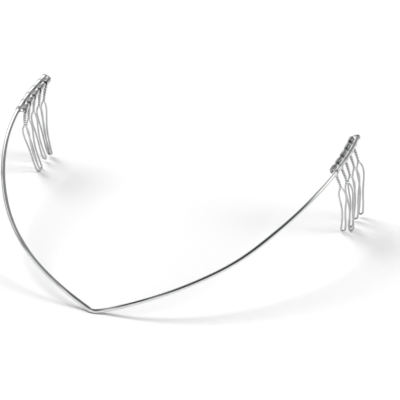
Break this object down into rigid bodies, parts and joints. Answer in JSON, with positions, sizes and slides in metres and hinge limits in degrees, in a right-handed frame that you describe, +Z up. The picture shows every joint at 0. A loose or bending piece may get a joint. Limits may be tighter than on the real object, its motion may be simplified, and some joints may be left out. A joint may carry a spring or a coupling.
{
  "type": "bridal headband",
  "caption": "Polished wire headband with a V at the forehead, and a small twisted-wire comb lashed inside each end to hold it in the hair.",
  "frame": {"origin": "middle of the bounding box, on the surface that the point of the V and the comb teeth stand on", "axes": "+X to the wearer's left, +Y from the forehead to the back of the head, +Z up"},
  "size_m": [0.1374, 0.1076, 0.0391],
  "materials": {
    "band_silver": "polished silver plating",
    "comb_steel": "satin drawn wire",
    "lashing_silver": "bright soft wire"
  },
  "bodies": {
    "root": {"band": "band_silver", "left_spine": "comb_steel", "left_tooth_1": "comb_steel", "left_tooth_2": "comb_steel", "left_tooth_3": "comb_steel", "left_tooth_4": "comb_steel", "left_tooth_5": "comb_steel", "left_lashing": "lashing_silver", "right_spine": "comb_steel", "right_tooth_1": "comb_steel", "right_tooth_2": "comb_steel", "right_tooth_3": "comb_steel", "right_tooth_4": "comb_steel", "right_tooth_5": "comb_steel", "right_lashing": "lashing_silver"}
  },
  "joints": []
}
